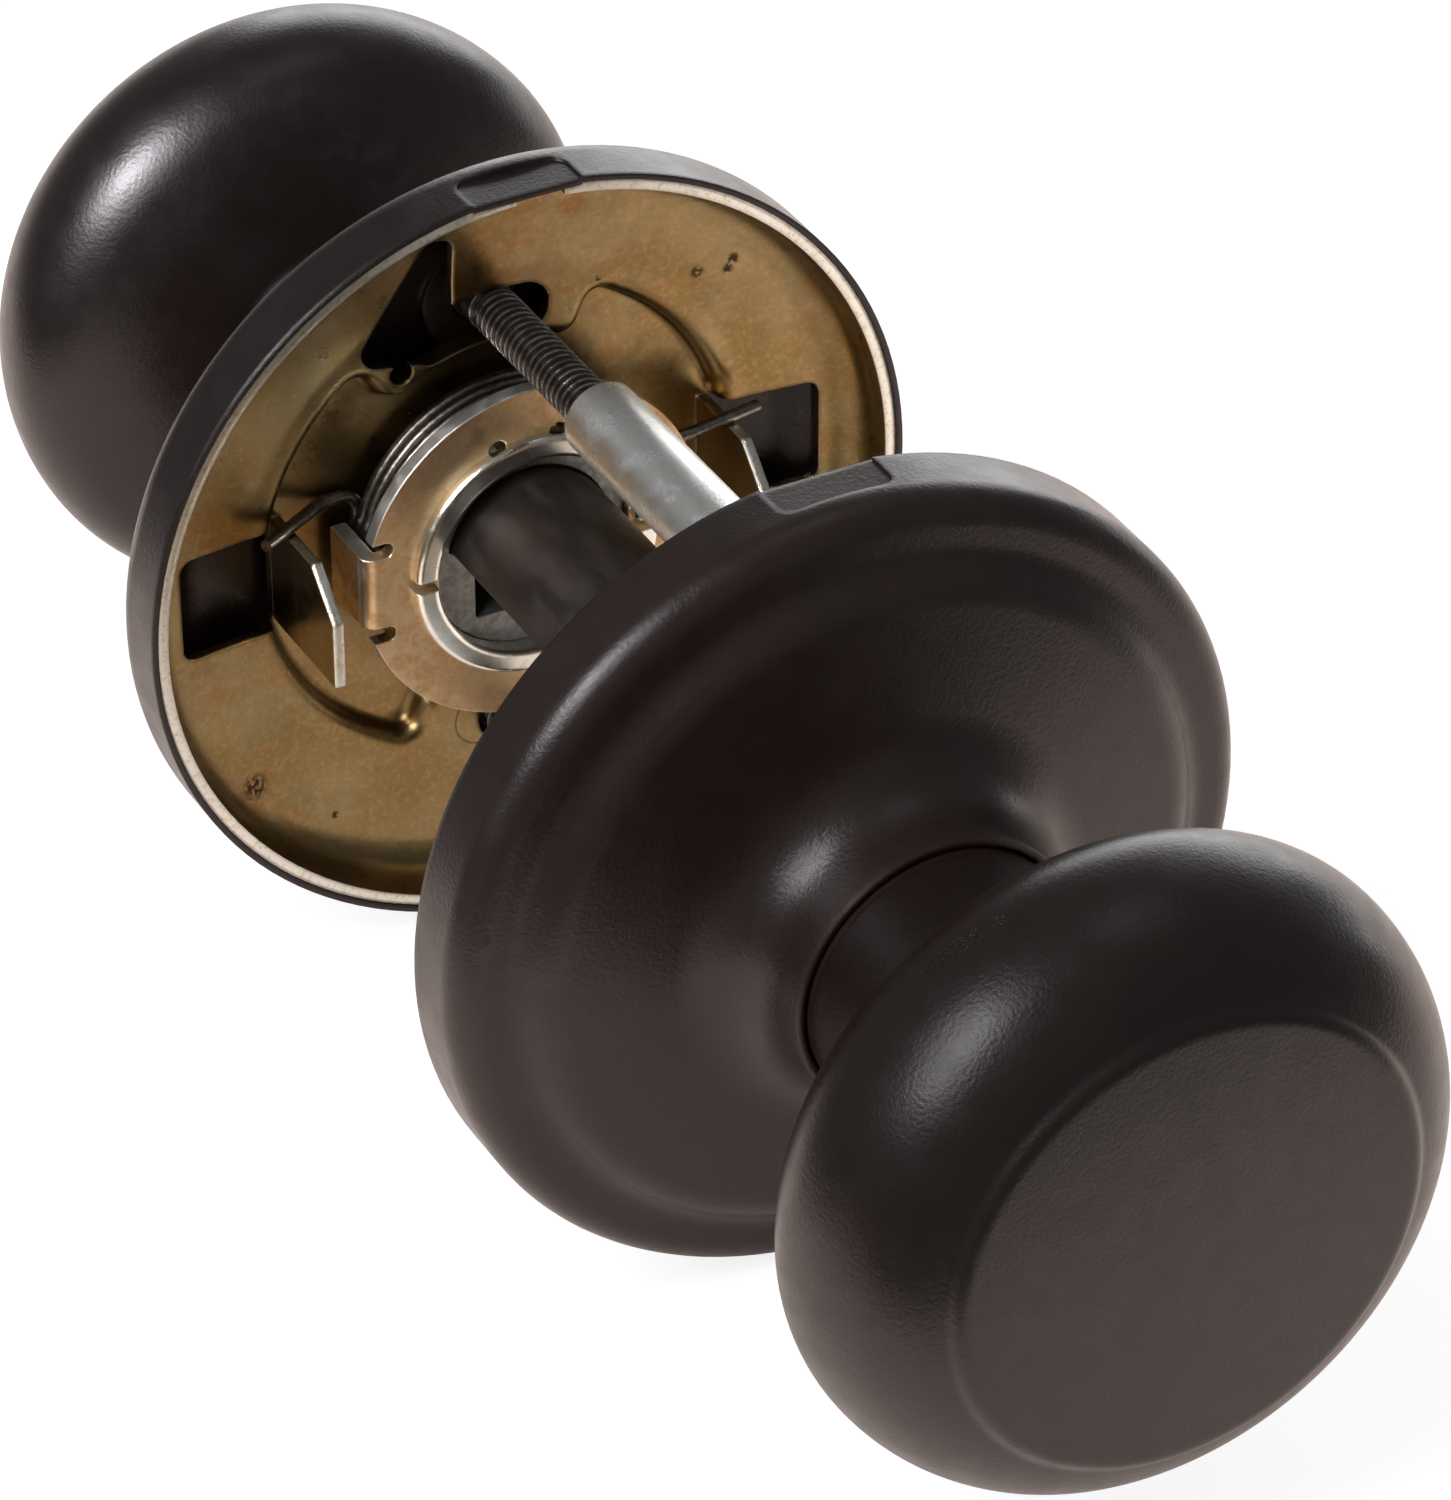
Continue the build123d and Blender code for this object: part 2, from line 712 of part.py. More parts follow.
def knob_section():
    """Axial half section of the spun shell: the full outline, hollowed, then halved."""
    neck = shank_radius
    face = knob_face_diameter / 2
    widest_radius = knob_diameter / 2
    back_shoulder = (
        widest_radius - knob_back_shoulder_inset,
        knob_widest_height - knob_back_shoulder_drop,
    )
    front_shoulder = (
        widest_radius - knob_front_shoulder_inset,
        knob_widest_height + knob_front_shoulder_rise,
    )
    face_top = knob_face_height + knob_face_step
    with BuildSketch() as section:
        with BuildLine():
            tube = Line((neck, knob_neck_start), (neck, knob_back_height - knob_neck_radius))
            root = TangentArc(
                tube @ 1, (neck + knob_neck_radius, knob_back_height), tangent=tube % 1
            )
            widest = (widest_radius, knob_widest_height)
            lower_bulge = TangentArc(widest, back_shoulder, tangent=(0, -1))
            TangentArc(lower_bulge @ 1, root @ 1, tangent=lower_bulge % 1)
            upper_bulge = TangentArc(widest, front_shoulder, tangent=(0, 1))
            brow = TangentArc(
                upper_bulge @ 1, (face + knob_face_step_run, knob_face_height), tangent=upper_bulge % 1
            )
            step = Line(brow @ 1, (face, face_top))
            dome = TangentArc((0, face_top + knob_face_dome), step @ 1, tangent=(1, 0))
            Polyline(dome @ 0, (0, knob_neck_start), tube @ 0)
        make_face()
        fillet(corner_at(section, brow @ 1), radius=knob_crease_radius)
        fillet(corner_at(section, step @ 1), radius=knob_rim_radius)
        mirror(about=Plane.YZ)
        offset(amount=-knob_wall, mode=Mode.SUBTRACT)
        with Locations((0, knob_neck_start)):
            Rectangle(2 * (neck - knob_wall), 4 * knob_wall, mode=Mode.SUBTRACT)
        split(bisect_by=Plane.YZ, keep=Keep.TOP)
    return section.sketch


def make_knob(side):
    """The hollow knob and its neck, one spun shell."""
    section = knob_section()
    with BuildPart() as knob:
        with BuildSketch(profile_plane(side)):
            add(section)
        revolve(axis=Axis.Y)
    return knob


def bolt_plane(sign):
    """An axial plane through one bolt: radius from the bolt across, world Y up."""
    return Plane(origin=(0, 0, sign * bolt_offset), x_dir=(1, 0, 0), z_dir=(0, 0, 1))


def bolt_axis(sign):
    return Axis((0, 0, sign * bolt_offset), (0, 1, 0))


def make_post(sign):
    """A long internally threaded post, riveted through the front liner's pad."""
    base = -half_gap - liner_pad_front
    back = -half_gap - liner_pad_back
    mouth = half_gap - post_mouth_gap
    radius = post_diameter / 2
    tenon = post_tenon_diameter / 2
    bore = screw_diameter / 2 + screw_fit
    with BuildPart() as post:
        with BuildSketch(bolt_plane(sign)):
            with BuildLine():
                Polyline(
                    (0, back),
                    (tenon + post_flare, back),
                    (tenon, back + post_flare),
                    (tenon, base),
                    (radius, base),
                    (radius, mouth - post_mouth_chamfer),
                    (radius - post_mouth_chamfer, mouth),
                    (bore + post_mouth_chamfer, mouth),
                    (bore, mouth - post_mouth_chamfer),
                    (bore, mouth - post_bore_depth),
                    (0, mouth - post_bore_depth),
                    close=True,
                )
            make_face()
        revolve(axis=bolt_axis(sign))
    return post


def make_screw(sign):
    """A pan-headed machine screw, seated in the rear rose's dimple."""
    seat = half_gap + dimple_seat_height
    top = seat + screw_head_height
    tip = seat - screw_length
    radius = screw_diameter / 2
    head = screw_head_diameter / 2
    with BuildPart() as screw:
        with BuildSketch(bolt_plane(sign)) as section:
            with BuildLine():
                Polyline(
                    (0, tip),
                    (radius - screw_tip_chamfer, tip),
                    (radius, tip + screw_tip_chamfer),
                    (radius, seat),
                    (head, seat),
                    (head, top),
                    (0, top),
                    close=True,
                )
            make_face()
            crown = [v for v in section.vertices() if v.X > radius and v.Y > seat + 0.01]
            fillet(crown, radius=screw_head_edge)
        revolve(axis=bolt_axis(sign))
        with BuildSketch(Plane(origin=(0, top, sign * bolt_offset), x_dir=(1, 0, 0), z_dir=(0, 1, 0))):
            Rectangle(head, screw_slot_width)
            Rectangle(screw_slot_width, head)
        extrude(amount=-screw_slot_depth, mode=Mode.SUBTRACT)
    return screw


def make_spindle():
    """The bar with one flat that joins the two knobs."""
    front_end = -half_gap - spindle_front_height
    rear_end = half_gap + spindle_rear_height
    with BuildPart() as spindle:
        with BuildSketch(axis_plane(rear_end)):
            add(d_outline(spindle_radius, spindle_flat_offset))
        extrude(amount=rear_end - front_end)
        ends = spindle.faces().filter_by(Axis.Y)
        chamfer(ends.edges(), length=spindle_edge)
        add(make_pin_blank(pin_diameter / 2 + pin_hole_fit, shank_diameter), mode=Mode.SUBTRACT)
    return spindle


def make_pin():
    """The pin that holds the spindle in the front knob's shank."""
    with BuildPart() as pin:
        add(make_pin_blank(pin_diameter / 2, shank_diameter / 2 - pin_end_clearance))
    return pin


def save(builder, name):
    builder.part.label = name
    export_step(builder.part, "parts/" + name + ".step")


os.makedirs("parts", exist_ok=True)

for half, side in (("front", -1), ("rear", 1)):
    save(make_knob(side), half + "_knob")
    save(make_rose(side, has_dimples=half == "rear"), half + "_rose")
    save(make_liner(side, has_keyholes=half == "rear"), half + "_liner")
    save(make_shank(side), half + "_shank")
    save(make_driver(side), half + "_driver")
    save(make_socket(side), half + "_socket")

front_spring = make_spring()
save(front_spring, "front_spring")
with BuildPart() as rear_spring:
    add(front_spring.part, rotation=(0, 0, 180))
save(rear_spring, "rear_spring")

for place, sign in (("upper", 1), ("lower", -1)):
    save(make_post(sign), place + "_post")
    save(make_screw(sign), place + "_screw")

save(make_spindle(), "spindle")
save(make_pin(), "spindle_pin")
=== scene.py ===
import math

import bmesh
import bpy
from mathutils import Matrix, Vector


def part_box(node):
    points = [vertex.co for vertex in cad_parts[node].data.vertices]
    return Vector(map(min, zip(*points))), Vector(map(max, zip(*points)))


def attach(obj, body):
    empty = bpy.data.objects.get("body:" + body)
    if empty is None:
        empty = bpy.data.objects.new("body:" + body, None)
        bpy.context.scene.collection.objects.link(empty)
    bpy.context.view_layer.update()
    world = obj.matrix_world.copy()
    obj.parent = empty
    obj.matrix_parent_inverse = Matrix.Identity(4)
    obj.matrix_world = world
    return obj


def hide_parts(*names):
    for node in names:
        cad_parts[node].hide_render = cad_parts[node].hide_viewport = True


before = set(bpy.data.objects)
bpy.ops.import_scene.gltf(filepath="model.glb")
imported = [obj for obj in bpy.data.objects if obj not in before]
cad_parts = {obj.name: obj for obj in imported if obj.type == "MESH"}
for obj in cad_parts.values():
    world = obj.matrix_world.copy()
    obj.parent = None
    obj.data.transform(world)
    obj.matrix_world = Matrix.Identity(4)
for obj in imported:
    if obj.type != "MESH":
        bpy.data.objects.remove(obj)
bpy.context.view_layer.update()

# The knobs turn about Y. The front half is on the -Y side, the rear half on the +Y side.
# Sizes below are in millimetres, apart from the stage and the camera's distance; mm() gives metres.
HALF_GAP = 22.9
BOLT_OFFSET = 19.0
MM_PER_METRE = 1000.0


def mm(value):
    return value * 0.001


# Camera
SENSOR = 36.0
LENS = 180.0
CLIP_START = 0.01
CLIP_END = 50
REAR_RIM_IN_VIEW = Vector((-0.01503, 0.01574, 0.594766))
ROLL = math.radians(18.3)
LEVEL_X = Vector((0.8378, 0.0, 0.5461))
LEVEL_Z = Vector((0.2730, 0.8661, -0.4188))
WORLD_Y = Vector((-0.4729, 0.4999, 0.7256))
WORLD_X = math.cos(ROLL) * LEVEL_X + math.sin(ROLL) * LEVEL_Z
WORLD_Z = -math.sin(ROLL) * LEVEL_X + math.cos(ROLL) * LEVEL_Z


def make_camera():
    """Sets the camera from the world axes as it sees them and from where the rear rim's middle lies."""
    right = Vector((WORLD_X.x, WORLD_Y.x, WORLD_Z.x)).normalized()
    forward = Vector((WORLD_X.z, WORLD_Y.z, WORLD_Z.z)).normalized()
    right = (right - right.dot(forward) * forward).normalized()
    up = right.cross(forward).normalized()
    away = REAR_RIM_IN_VIEW
    place = Vector((0, mm(HALF_GAP), 0)) - away.x * right - away.y * up - away.z * forward
    data = bpy.data.cameras.new("camera")
    data.sensor_width = SENSOR
    data.lens = LENS
    data.clip_start = CLIP_START
    data.clip_end = CLIP_END
    camera = bpy.data.objects.new("camera", data)
    bpy.context.scene.collection.objects.link(camera)
    turn = Matrix((right, up, -forward)).transposed()
    camera.matrix_world = Matrix.Translation(place) @ turn.to_4x4()
    bpy.context.scene.camera = camera
    return right, up, forward


view_right, view_up, view_forward = make_camera()


# Node helpers
EDGE_SAMPLES = 4
EDGE_MASK_REACH = 0.14
EDGE_MASK_FULL = 0.74
EDGE_MASK_NONE = 0.97
BUMP_STRENGTH = 1.0
MARK_CORE = 0.35
WHITE = (1.0, 1.0, 1.0)


def bare_material(name):
    """A material that holds its output node only."""
    material = bpy.data.materials.new(name)
    material.use_nodes = True
    tree = material.node_tree
    tree.nodes.clear()
    return material, tree, tree.nodes.new("ShaderNodeOutputMaterial")


def put(tree, socket, value):
    """Sets an input socket to a constant, or links it to another node's output."""
    if isinstance(value, bpy.types.NodeSocket):
        tree.links.new(value, socket)
    elif value is not None:
        socket.default_value = value


def math_node(tree, operation, first, second=None):
    node = tree.nodes.new("ShaderNodeMath")
    node.operation = operation
    put(tree, node.inputs[0], first)
    put(tree, node.inputs[1], second)
    return node.outputs[0]


def vector_node(tree, operation, first):
    """A vector node with its first input linked."""
    node = tree.nodes.new("ShaderNodeVectorMath")
    node.operation = operation
    tree.links.new(first, node.inputs[0])
    return node


def place_of(tree):
    return tree.nodes.new("ShaderNodeTexCoord").outputs["Object"]


def noise(tree, size, detail=3.0, rough=0.55, stretch=None, distortion=0.0):
    """Noise whose features are about size mm across, longer where stretch is under 1."""
    node = tree.nodes.new("ShaderNodeTexNoise")
    node.inputs["Scale"].default_value = 1.0 / mm(size)
    node.inputs["Detail"].default_value = detail
    node.inputs["Roughness"].default_value = rough
    node.inputs["Distortion"].default_value = distortion
    where = place_of(tree)
    if stretch:
        scale = vector_node(tree, "MULTIPLY", where)
        scale.inputs[1].default_value = stretch
        where = scale.outputs[0]
    tree.links.new(where, node.inputs["Vector"])
    return node.outputs["Fac"]


def spread(tree, value, low, high, to_low=0.0, to_high=1.0):
    """Maps low..high to to_low..to_high, held at the ends."""
    node = tree.nodes.new("ShaderNodeMapRange")
    node.interpolation_type = "SMOOTHSTEP"
    put(tree, node.inputs["Value"], value)
    node.inputs["From Min"].default_value = low
    node.inputs["From Max"].default_value = high
    node.inputs["To Min"].default_value = to_low
    node.inputs["To Max"].default_value = to_high
    return node.outputs["Result"]


def blend_rgb(tree, factor, first, second):
    """The first colour where the factor is 0, the second where it is 1."""
    node = tree.nodes.new("ShaderNodeMix")
    node.data_type = "RGBA"
    put(tree, [s for s in node.inputs if s.name == "Factor" and s.type == "VALUE"][0], factor)
    for name, value in (("A", first), ("B", second)):
        socket = [s for s in node.inputs if s.name == name and s.type == "RGBA"][0]
        put(tree, socket, value if isinstance(value, bpy.types.NodeSocket) else (*value, 1.0))
    return [s for s in node.outputs if s.type == "RGBA"][0]


def scaled(tree, value, share):
    return math_node(tree, "MULTIPLY", value, share)


def tinted(tree, colour, mask, share, tint):
    """The colour moved towards the tint by the share where the mask is 1."""
    return blend_rgb(tree, scaled(tree, mask, share), colour, tint)


def above(tree, value, limit):
    return math_node(tree, "GREATER_THAN", value, limit)


def below(tree, value, limit):
    return math_node(tree, "LESS_THAN", value, limit)


def both(tree, *values):
    """The product of all values, so 1 where every mask is 1."""
    result = values[0]
    for value in values[1:]:
        result = math_node(tree, "MULTIPLY", result, value)
    return result


def either(tree, *values):
    """The greatest value, so 1 where any mask is 1."""
    result = values[0]
    for value in values[1:]:
        result = math_node(tree, "MAXIMUM", result, value)
    return result


def soft_edges(tree, radius):
    """A normal rounded over sharp edges within the radius."""
    node = tree.nodes.new("ShaderNodeBevel")
    node.samples = EDGE_SAMPLES
    node.inputs["Radius"].default_value = mm(radius)
    return node.outputs["Normal"]


def edge_mask(tree):
    """1 along the sharp edges of a sheared or cut part, 0 on its faces."""
    dot = vector_node(tree, "DOT_PRODUCT", soft_edges(tree, EDGE_MASK_REACH))
    tree.links.new(tree.nodes.new("ShaderNodeNewGeometry").outputs["Normal"], dot.inputs[1])
    return spread(tree, dot.outputs["Value"], EDGE_MASK_NONE, EDGE_MASK_FULL)


def bump(tree, height, distance, normal=None):
    node = tree.nodes.new("ShaderNodeBump")
    node.inputs["Strength"].default_value = BUMP_STRENGTH
    node.inputs["Distance"].default_value = mm(distance)
    tree.links.new(height, node.inputs["Height"])
    if normal is not None:
        tree.links.new(normal, node.inputs["Normal"])
    return node.outputs["Normal"]


def place_parts(tree):
    """Object-space x, y and z in mm."""
    scale = vector_node(tree, "SCALE", place_of(tree))
    scale.inputs["Scale"].default_value = MM_PER_METRE
    parts = tree.nodes.new("ShaderNodeSeparateXYZ")
    tree.links.new(scale.outputs[0], parts.inputs[0])
    return parts.outputs


def hypotenuse(tree, first, second):
    squares = [math_node(tree, "MULTIPLY", value, value) for value in (first, second)]
    return math_node(tree, "SQRT", math_node(tree, "ADD", *squares))


def round_places(tree):
    """Distance from the knobs' axis and height outward of the rim, in mm."""
    x, y, z = place_parts(tree)
    height = math_node(tree, "SUBTRACT", math_node(tree, "ABSOLUTE", y), HALF_GAP)
    return hypotenuse(tree, x, z), height


def facing(tree, axis):
    """How far the face looks along the object's X or Y, without sign."""
    turn = tree.nodes.new("ShaderNodeVectorTransform")
    turn.vector_type = "NORMAL"
    turn.convert_from = "WORLD"
    turn.convert_to = "OBJECT"
    tree.links.new(tree.nodes.new("ShaderNodeNewGeometry").outputs["True Normal"], turn.inputs[0])
    parts = tree.nodes.new("ShaderNodeSeparateXYZ")
    tree.links.new(turn.outputs[0], parts.inputs[0])
    return math_node(tree, "ABSOLUTE", parts.outputs[axis])


def marks(tree, places, ragged):
    """1 in the ragged spots round places, each x, y, z and size in mm."""
    result = 0.0
    for x, y, z, size in places:
        gap = vector_node(tree, "DISTANCE", place_of(tree))
        gap.inputs[1].default_value = (mm(x), mm(y), mm(z))
        near = spread(tree, gap.outputs["Value"], mm(size), mm(MARK_CORE * size))
        result = math_node(tree, "MAXIMUM", result, near)
    return math_node(tree, "MULTIPLY", result, ragged)


def surface(name, make_looks):
    """A material whose shader takes colour, metallic, roughness and normal from make_looks."""
    material, tree, out = bare_material(name)
    shader = tree.nodes.new("ShaderNodeBsdfPrincipled")
    tree.links.new(shader.outputs["BSDF"], out.inputs["Surface"])
    sockets = ("Base Color", "Metallic", "Roughness", "Normal", "Specular IOR Level")
    for socket, value in zip(sockets, make_looks(tree)):
        put(tree, shader.inputs[socket], value)
    return material


# Powder coat
COAT_TONES = ((0.0170, 0.0098, 0.0084), (0.0200, 0.0116, 0.0098))
# The front rose's tones are a lighter, browner copy of the coat: painted light on that rose.
FRONT_ROSE_LIT_TONES = ((0.0250, 0.0150, 0.0126), (0.0290, 0.0176, 0.0148))
SCUFF_COLOUR = (0.008, 0.004, 0.003)
SMUDGE_COLOUR = (0.006, 0.004, 0.004)
# Reddish brown of the collars' ends: partly rubbed coat, partly painted shade of the gap round the neck.
RUBBED_AND_SHADED_COLOUR = (0.030, 0.0105, 0.007)
COAT_SPECULAR = 0.45
COLLAR_RADIUS = 12.4
COLLAR_END = 18.2
ROSE_END = 19.3
SCUFFS = (
    (-13.9, -65.9, 22.0, 1.3),
    (-12.5, -66.0, 22.8, 1.2),
    (-11.3, -66.2, 23.4, 1.0),
    (-14.8, -65.5, 21.3, 0.8),
    (-9.6, -66.4, 24.2, 0.7),
)
SMUDGES = (
    (1.5, 59.1, 20.7, 3.2),
    (4.1, 57.4, 16.5, 3.6),
    (0.2, 58.4, 17.6, 3.0),
    (-2.0, 60.2, 22.5, 2.4),
)


def bronze_coat(tree):
    """Very dark brown satin powder coat with a fine orange peel, scuffed here and there.

    The front rose gets a lighter, browner copy of the coat, which is painted light on that rose. The end
    of each rose's collar is tinted reddish brown, partly rubbed wear and partly painted shade of the gap
    round the neck.
    """
    radius, height = round_places(tree)
    tone = spread(tree, noise(tree, 9, 4), 0.35, 0.65)
    in_front = below(tree, place_parts(tree)["Y"], 0.0)
    # Painted light: the front rose takes the lighter copy of the coat.
    lit_front_rose = both(tree, in_front, below(tree, height, ROSE_END))
    coat = blend_rgb(tree, tone, *COAT_TONES)
    colour = blend_rgb(tree, lit_front_rose, coat, blend_rgb(tree, tone, *FRONT_ROSE_LIT_TONES))
    scuffs = marks(tree, SCUFFS, spread(tree, noise(tree, 0.45, 3, 0.6), 0.50, 0.56))
    colour = tinted(tree, colour, scuffs, 0.8, SCUFF_COLOUR)
    smudge = marks(tree, SMUDGES, spread(tree, noise(tree, 2.4, 4, 0.6), 0.38, 0.62))
    colour = tinted(tree, colour, smudge, 0.5, SMUDGE_COLOUR)
    at_end = both(tree, above(tree, height, COLLAR_END), below(tree, height, ROSE_END))
    worn = spread(tree, noise(tree, 0.8, 3), 0.35, 0.65, 0.5, 1.0)
    # The collar-end band is partly rubbed wear and partly painted shade where the collar meets the neck.
    rubbed = both(tree, below(tree, radius, COLLAR_RADIUS), at_end, worn)
    colour = blend_rgb(tree, rubbed, colour, RUBBED_AND_SHADED_COLOUR)
    haze = spread(tree, noise(tree, 2.5, 5), 0.3, 0.7, 0.30, 0.37)
    haze = math_node(tree, "ADD", haze, scaled(tree, either(tree, smudge, rubbed), 0.15))
    peel = math_node(tree, "ADD", noise(tree, 0.34, 2, 0.5), scaled(tree, scuffs, -1.5))
    return colour, 0.0, haze, bump(tree, peel, 0.026, soft_edges(tree, 0.6)), COAT_SPECULAR


# Plated sheet of the liners
SILVER = (0.78, 0.79, 0.72)
LINER_TONES = ((0.290, 0.212, 0.099), (0.245, 0.161, 0.061))
LINER_GREEN = (0.228, 0.193, 0.096)
LINER_RUST = (0.285, 0.155, 0.055)
LINER_STAIN = (0.255, 0.115, 0.045)
LINER_PALE = (0.39, 0.305, 0.157)
LUG_SPECK = (0.58, 0.47, 0.27)
NICK_COLOUR = (0.05, 0.032, 0.02)
LINER_RIM_RADIUS = 31.8
LINER_RIM_HEIGHT = 0.26
LUG_RADIUS = 21.0
LUG_HEIGHT = 4.5
EDGE_ON = 0.5
LINER_NICKS = (
    (17.6, 28.6, 17.8, 0.75),
    (20.3, 28.4, 17.5, 0.65),
    (20.7, 28.2, 18.3, 0.75),
    (8.9, 28.8, 19.6, 0.4),
    (-23.0, 27.9, -18.2, 1.5),
    (-16.0, 28.3, -23.4, 0.5),
)
LINER_STAINS = (
    (2.7, 28.1, 28.8, 2.6),
    (6.5, 28.3, 27.5, 2.0),
    (-24.5, 27.5, -20.0, 3.2),
    (-10.0, 28.8, 27.0, 1.8),
)


def liner_zinc(tree):
    """Zinc plate with a yellow chromate, blotched and nicked, its sheared edges silvery."""
    radius, height = round_places(tree)
    blotch = spread(tree, noise(tree, 9, 5, 0.55), 0.38, 0.62)
    colour = blend_rgb(tree, blotch, *LINER_TONES)
    green = spread(tree, noise(tree, 5, 4, 0.6, (1.3, 1.0, 0.8)), 0.48, 0.68)
    colour = tinted(tree, colour, green, 0.6, LINER_GREEN)
    rust = spread(tree, noise(tree, 6.5, 4, 0.6, (0.8, 1.0, 1.2)), 0.54, 0.70)
    colour = tinted(tree, colour, rust, 0.7, LINER_RUST)
    stains = marks(tree, LINER_STAINS, spread(tree, noise(tree, 1.3, 4, 0.6), 0.35, 0.60, 0.3, 1.0))
    colour = tinted(tree, colour, stains, 0.7, LINER_STAIN)
    fine = spread(tree, noise(tree, 0.55, 5, 0.7), 0.44, 0.70)
    colour = tinted(tree, colour, fine, 0.45, LINER_PALE)
    rim = both(tree, above(tree, radius, LINER_RIM_RADIUS), below(tree, height, LINER_RIM_HEIGHT))
    lug = both(tree, below(tree, height, LUG_HEIGHT), below(tree, radius, LUG_RADIUS))
    lug = both(tree, lug, below(tree, facing(tree, "X"), EDGE_ON))
    speck = spread(tree, noise(tree, 0.4, 4, 0.7), 0.50, 0.66)
    silver = tinted(tree, SILVER, speck, 0.7, LUG_SPECK)
    colour = blend_rgb(tree, either(tree, rim, lug), colour, silver)
    colour = tinted(tree, colour, edge_mask(tree), 0.8, SILVER)
    nicks = marks(tree, LINER_NICKS, spread(tree, noise(tree, 0.5, 3, 0.6), 0.44, 0.50))
    colour = tinted(tree, colour, nicks, 0.85, NICK_COLOUR)
    haze = spread(tree, noise(tree, 1.6, 5), 0.3, 0.7, 0.27, 0.35)
    haze = math_node(tree, "ADD", haze, scaled(tree, nicks, 0.3))
    return colour, 1.0, haze, bump(tree, noise(tree, 0.3, 4, 0.6), 0.006, soft_edges(tree, 0.5))


# Plated steel of the drivers
DRIVER_TONES = ((0.60, 0.435, 0.245), (0.51, 0.325, 0.150))
DRIVER_PALE = (0.66, 0.53, 0.36)
DRIVER_EDGE_RADIUS = 14.3
DRIVER_EDGE_HEIGHT = 1.8


def driver_zinc(tree):
    """The liners' plate, rubbed to a browner mottle, with bright sheared edges."""
    radius, height = round_places(tree)
    blotch = spread(tree, noise(tree, 2.2, 5, 0.65, distortion=0.8), 0.40, 0.62)
    fine = spread(tree, noise(tree, 0.5, 5, 0.7), 0.40, 0.66)
    colour = tinted(tree, blend_rgb(tree, blotch, *DRIVER_TONES), fine, 0.4, DRIVER_PALE)
    outer = both(tree, above(tree, radius, DRIVER_EDGE_RADIUS), below(tree, facing(tree, "Y"), EDGE_ON))
    outer = both(tree, outer, below(tree, height, DRIVER_EDGE_HEIGHT))
    ear = both(tree, above(tree, height, DRIVER_EDGE_HEIGHT), below(tree, facing(tree, "X"), EDGE_ON))
    colour = blend_rgb(tree, either(tree, outer, ear), colour, SILVER)
    colour = tinted(tree, colour, edge_mask(tree), 0.85, SILVER)
    haze = spread(tree, blotch, 0.0, 1.0, 0.36, 0.46)
    return colour, 1.0, haze, bump(tree, noise(tree, 0.3, 4, 0.6), 0.012, soft_edges(tree, 0.22))


# Bright parts
BRIGHT_TONES = ((0.84, 0.87, 0.83), (0.62, 0.62, 0.55))
BRIGHT_DULL = (0.78, 0.74, 0.58)
POST_TONES = ((0.92, 0.94, 0.91), (0.86, 0.86, 0.78))
POST_DARK = (0.36, 0.39, 0.42)
CAST_TONES = ((0.23, 0.235, 0.225), (0.31, 0.31, 0.29))


def bright_zinc(tree):
    """Bluish silver zinc plate with a few duller patches."""
    mottle = spread(tree, noise(tree, 1.1, 5, 0.6, distortion=0.4), 0.50, 0.68)
    patch = spread(tree, noise(tree, 6, 3), 0.42, 0.62)
    bright, dull = BRIGHT_TONES
    colour = tinted(tree, tinted(tree, bright, mottle, 0.4, dull), patch, 0.3, BRIGHT_DULL)
    haze = spread(tree, mottle, 0.0, 1.0, 0.18, 0.28)
    return colour, 1.0, haze, bump(tree, noise(tree, 0.7, 4, 0.6), 0.0035, soft_edges(tree, 0.2))


def post_zinc(tree):
    """The posts' plate: brushed lengthwise, with a dark bluish sparkle in patches."""
    brushed = spread(tree, noise(tree, 0.9, 5, 0.65, (1.0, 0.22, 1.0)), 0.40, 0.62)
    patch = spread(tree, noise(tree, 3.0, 3, 0.5), 0.40, 0.60)
    sparkle = both(tree, spread(tree, noise(tree, 0.35, 5, 0.75), 0.48, 0.56), patch)
    bright, dull = POST_TONES
    colour = tinted(tree, tinted(tree, bright, brushed, 0.5, dull), sparkle, 0.55, POST_DARK)
    haze = spread(tree, sparkle, 0.0, 1.0, 0.32, 0.40)
    return colour, 1.0, haze, bump(tree, sparkle, 0.006, soft_edges(tree, 0.15))


def cast_zinc(tree):
    """Grey rough casting with a sparkle."""
    mottle = spread(tree, noise(tree, 0.8, 5, 0.6), 0.38, 0.62)
    colour = blend_rgb(tree, mottle, *CAST_TONES)
    haze = spread(tree, mottle, 0.0, 1.0, 0.55, 0.42)
    return colour, 0.8, haze, bump(tree, noise(tree, 0.4, 5, 0.65), 0.02, soft_edges(tree, 0.2))


# Dark parts
OXIDE_TONES = ((0.030, 0.0215, 0.017), (0.043, 0.032, 0.025))
SCREW_BLACK = (0.016, 0.012, 0.010)
CREST_STEEL_AND_HIGHLIGHT = (0.40, 0.36, 0.33)
CREST_START = 1.90
CREST_FULL = 2.03
CREST_LIMIT = 2.2
WIRE_TONES = ((0.15, 0.13, 0.115), (0.26, 0.24, 0.21))


def black_oxide(tree):
    """Brown-black oxide finish on steel, a little oily."""
    streak = spread(tree, noise(tree, 2.2, 5, 0.6, (1.0, 0.3, 1.0)), 0.38, 0.64)
    colour = blend_rgb(tree, streak, *OXIDE_TONES)
    haze = spread(tree, streak, 0.0, 1.0, 0.40, 0.52)
    return colour, 0.3, haze, bump(tree, noise(tree, 0.5, 4, 0.6), 0.012, soft_edges(tree, 0.25))


